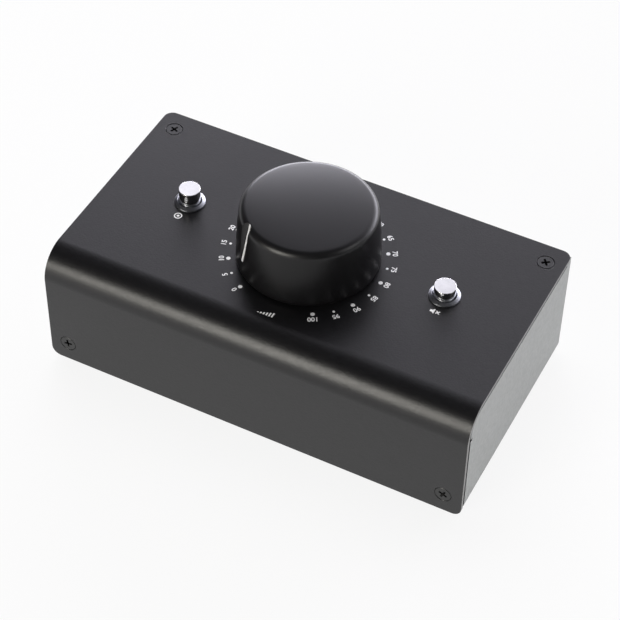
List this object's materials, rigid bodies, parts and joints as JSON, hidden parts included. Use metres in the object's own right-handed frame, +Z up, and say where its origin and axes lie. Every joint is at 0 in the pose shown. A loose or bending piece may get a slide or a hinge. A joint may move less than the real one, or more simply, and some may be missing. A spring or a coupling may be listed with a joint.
{
  "type": "studio monitor controller",
  "caption": "Desktop level control in a folded metal case, with a large knob, two push buttons and round audio sockets at the back.",
  "frame": {"origin": "centre of the overall footprint, on the surface that the feet stand on", "axes": "+Z up, -Y towards the user and the front leaf, +Y towards the sockets, +X to the user's right"},
  "size_m": [0.14, 0.0776, 0.0651],
  "materials": {
    "cover_paint": "black powder coat, satin, fine grain",
    "chassis_paint": "light grey-green powder coat, satin",
    "black_screw": "black oxide",
    "zinc": "zinc plated",
    "spring_steel": "bright wire",
    "shaft_aluminium": "turned",
    "foot_rubber": "matt",
    "board_green": "solder mask",
    "resistor_tan": "lacquered",
    "ribbon_grey": "flexible, ribbed",
    "black_plastic": "moulded, satin",
    "contact_gold": "gold plated",
    "phenolic": "laminate",
    "knob_black": "moulded, satin",
    "pointer_white": "inlaid",
    "white_plastic": "moulded",
    "chrome": "polished"
  },
  "bodies": {
    "case": {"base_chassis": "chassis_paint", "top_cover": "cover_paint", "cover_screws": "black_screw", "clinch_nuts": "zinc", "rubber_feet": "foot_rubber", "connector_board": "board_green", "board_standoffs": "zinc", "board_screws": "zinc", "control_board": "board_green", "resistors": "resistor_tan", "ribbon_cable": "ribbon_grey", "ribbon_headers": "black_plastic", "left_input_housing": "black_plastic", "right_input_housing": "black_plastic", "left_input_core": "black_plastic", "right_input_core": "black_plastic", "left_input_contacts": "contact_gold", "right_input_contacts": "contact_gold", "left_output_housing": "black_plastic", "right_output_housing": "black_plastic", "left_output_pins": "contact_gold", "right_output_pins": "contact_gold", "connector_screws": "black_screw", "pot_bushing": "zinc", "pot_gang_1": "phenolic", "pot_gang_2": "phenolic", "pot_gang_3": "phenolic", "pot_gang_4": "phenolic", "pot_back_plate": "zinc", "pot_rivets": "zinc", "pot_terminals": "zinc", "pot_washer": "zinc", "pot_nut": "zinc", "mono_bezel": "chrome", "mono_switch_case": "white_plastic", "mono_latch_pin": "zinc", "mono_terminals": "zinc", "mute_bezel": "chrome", "mute_switch_case": "white_plastic", "mute_latch_pin": "zinc", "mute_terminals": "zinc", "mono_spring": "spring_steel", "mute_spring": "spring_steel"},
    "knob": {"knob_shell": "knob_black", "knob_hub": "knob_black", "knob_pointer": "pointer_white", "knob_set_screw": "black_screw", "pot_shaft": "shaft_aluminium", "pot_wipers": "phenolic"},
    "mono_button": {"mono_cap": "chrome", "mono_plunger": "white_plastic"},
    "mute_button": {"mute_cap": "chrome", "mute_plunger": "white_plastic"}
  },
  "joints": [
    {"name": "level", "type": "hinge", "parent": "case", "child": "knob", "pos_m": [0, -0.0008, 0.05], "axis": [0, 0, -1], "range_deg": [-7.5, 292.5]},
    {"name": "mono_press", "type": "slide", "parent": "case", "child": "mono_button", "axis": [0, 0, -1], "range_m": [0, 0.0025], "stiffness_N_per_m": 500, "springref_m": -0.0015, "deforming": ["mono_spring"]},
    {"name": "mute_press", "type": "slide", "parent": "case", "child": "mute_button", "axis": [0, 0, -1], "range_m": [-0.0013, 0.0012], "stiffness_N_per_m": 500, "deforming": ["mute_spring"]}
  ]
}
